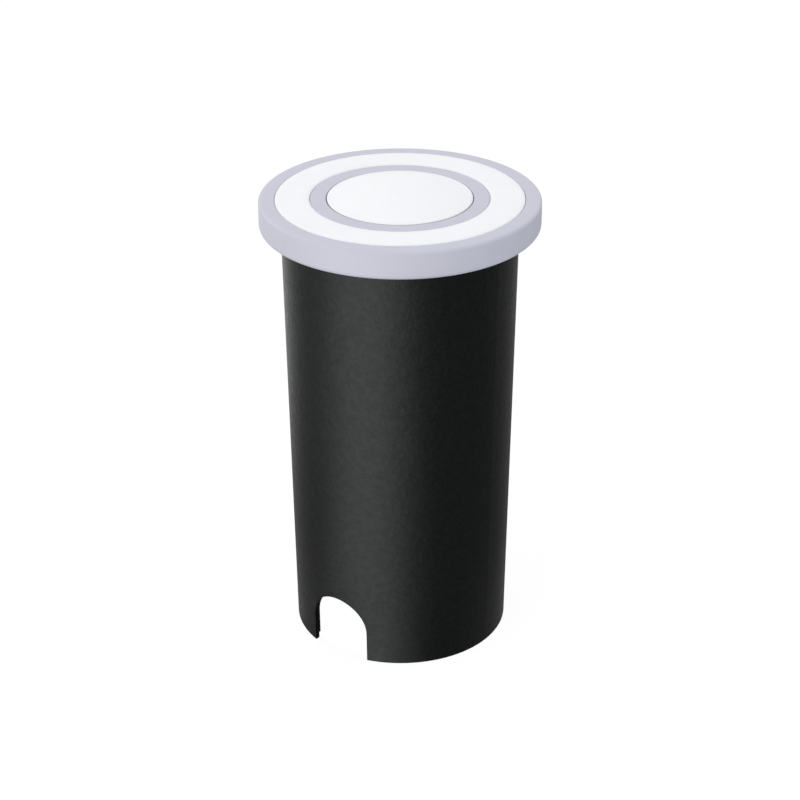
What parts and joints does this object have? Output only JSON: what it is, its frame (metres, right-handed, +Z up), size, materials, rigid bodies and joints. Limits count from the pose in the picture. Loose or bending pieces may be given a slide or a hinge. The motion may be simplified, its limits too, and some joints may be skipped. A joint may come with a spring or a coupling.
{
  "type": "recessed floor light",
  "caption": "Round recessed walk-over light with a flat trim, a ring lens and a centre lens, standing in a tapered installation sleeve with an arched cable notch.",
  "frame": {"origin": "centre of the sleeve's bottom edge, on the surface it stands on", "axes": "+Z up along the sleeve's axis, towards the trim; -Y through the cable notch"},
  "size_m": [0.06, 0.06, 0.1036],
  "materials": {
    "moulded_black": "fine moulded texture, matte",
    "trim_finish": "smooth satin paint, pale lilac grey",
    "opal": "opal white diffuser, satin",
    "silicone": "translucent white silicone",
    "white_moulding": "white moulded plastic, matte",
    "metallised": "vacuum metallised, satin",
    "board_white": "white solder mask",
    "phosphor": "yellow phosphor in silicone",
    "heat_pad": "soft grey-blue pad",
    "cast_aluminium": "die-cast, shot-blasted",
    "black_rubber": "matte black rubber",
    "screw_steel": "stainless, bright",
    "board_green": "green solder mask",
    "ferrite": "dark sintered ferrite",
    "coil_tape": "yellow polyester tape",
    "component_black": "black component case",
    "terminal_green": "green moulded plastic",
    "lead_red": "insulated wire",
    "gland_grey": "dark grey nylon, matte",
    "nylon_white": "natural nylon"
  },
  "bodies": {
    "sleeve": {"mounting_sleeve": "moulded_black"},
    "lamp": {"trim_ring": "trim_finish", "ring_diffuser": "opal", "inner_band": "trim_finish", "centre_diffuser": "opal", "ring_outer_seal": "silicone", "ring_inner_seal": "silicone", "centre_seal": "silicone", "ring_reflector": "white_moulding", "light_divider": "white_moulding", "centre_reflector": "metallised", "led_board": "board_white", "ring_leds": "phosphor", "centre_led": "phosphor", "thermal_pad": "heat_pad", "lamp_housing": "cast_aluminium", "head_gasket": "black_rubber", "divider_screws": "screw_steel", "upper_grip_ring": "black_rubber", "lower_grip_ring": "black_rubber", "driver_liner": "white_moulding", "driver_board": "board_green", "transformer_core": "ferrite", "transformer_coil": "coil_tape", "smoothing_capacitors": "component_black", "driver_chips": "component_black", "terminal_block": "terminal_green", "terminal_screws": "screw_steel", "led_leads": "lead_red", "rear_cap": "cast_aluminium", "rear_cap_seal": "black_rubber", "rear_cap_screws": "screw_steel", "gland_body": "gland_grey", "gland_flange_seal": "black_rubber", "gland_seal": "black_rubber"},
    "gland_ring": {"gland_thrust_ring": "nylon_white"},
    "gland_cap": {"gland_nut": "gland_grey"}
  },
  "joints": [
    {"name": "lamp_lift", "type": "slide", "parent": "sleeve", "child": "lamp", "axis": [0, 0, 1], "range_m": [0, 0.085]},
    {"name": "gland_nut_travel", "type": "slide", "parent": "lamp", "child": "gland_ring", "axis": [0, 0, -1], "range_m": [0, 0.0045]},
    {"name": "gland_nut_turn", "type": "hinge", "parent": "gland_ring", "child": "gland_cap", "pos_m": [0, 0, 0.025], "axis": [0, 0, -1], "range_deg": [0, 1080]}
  ],
  "couplings": [
    {"joint": "gland_nut_travel", "follows": "gland_nut_turn", "m_per_rad": 0.00023873}
  ]
}
